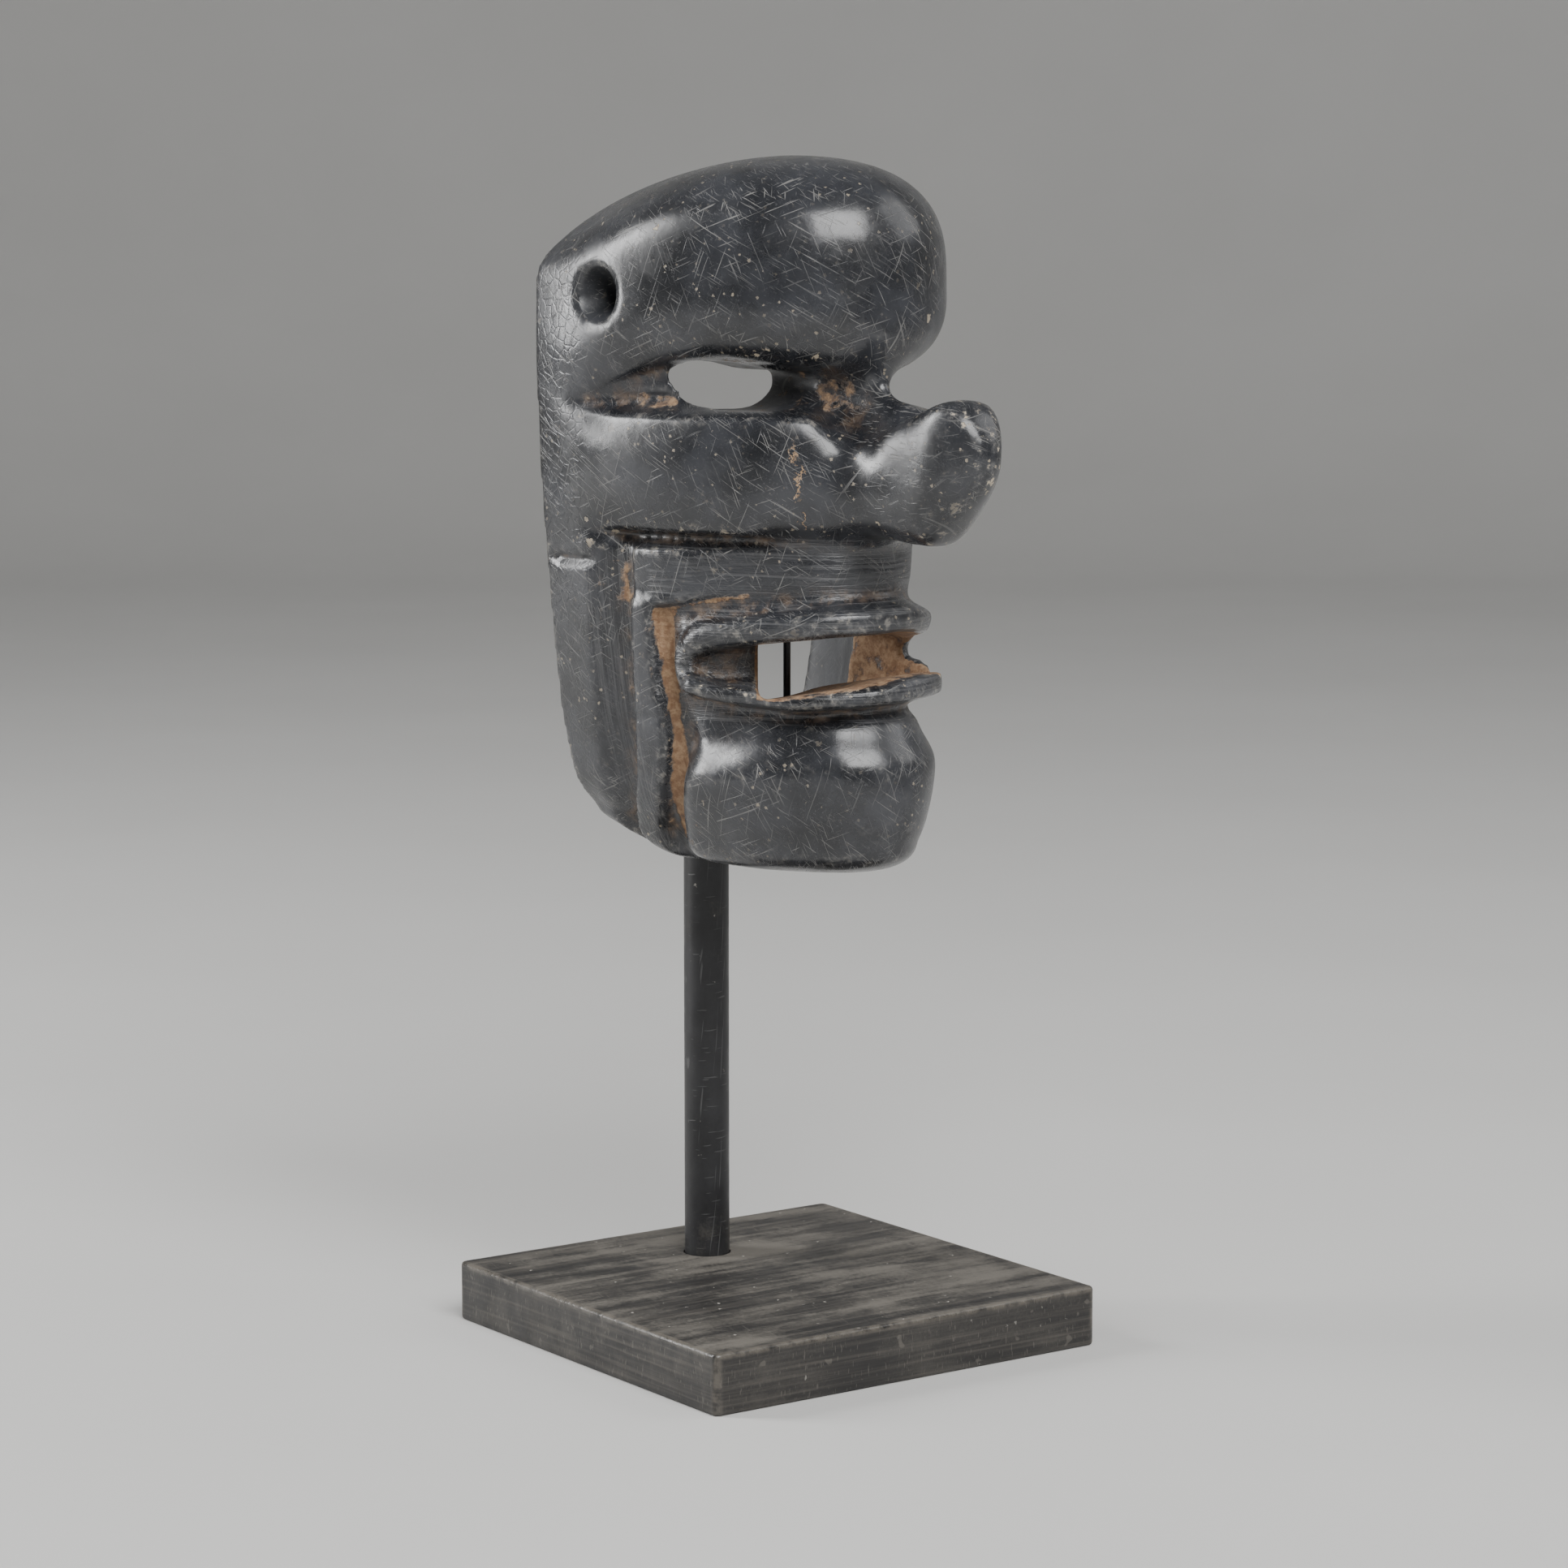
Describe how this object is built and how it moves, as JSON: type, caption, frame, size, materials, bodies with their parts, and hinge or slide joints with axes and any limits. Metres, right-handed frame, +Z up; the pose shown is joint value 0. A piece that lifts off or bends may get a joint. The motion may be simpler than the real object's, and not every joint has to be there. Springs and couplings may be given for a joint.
{
  "type": "stone mask",
  "caption": "Carved black stone mask with a jutting upturned nose, slit eyes and an open mouth, held by a wire on a steel post in a square wooden base.",
  "frame": {"origin": "centre of the base's underside", "axes": "+Z up along the post; the mask looks towards -Y; +X is to the left of the mask's own face, and to the right of a viewer who faces it"},
  "size_m": [0.1, 0.1251, 0.2553],
  "materials": {
    "base_wood": "black painted, dusty, worn edges",
    "post_steel": "satin black, scuffed",
    "wire_steel": "dark steel",
    "stone": "polished black stone, scratched, with brown earth in the grooves"
  },
  "bodies": {
    "root": {"base": "base_wood", "post": "post_steel", "mount_wire": "wire_steel", "mask": "stone"}
  },
  "joints": []
}
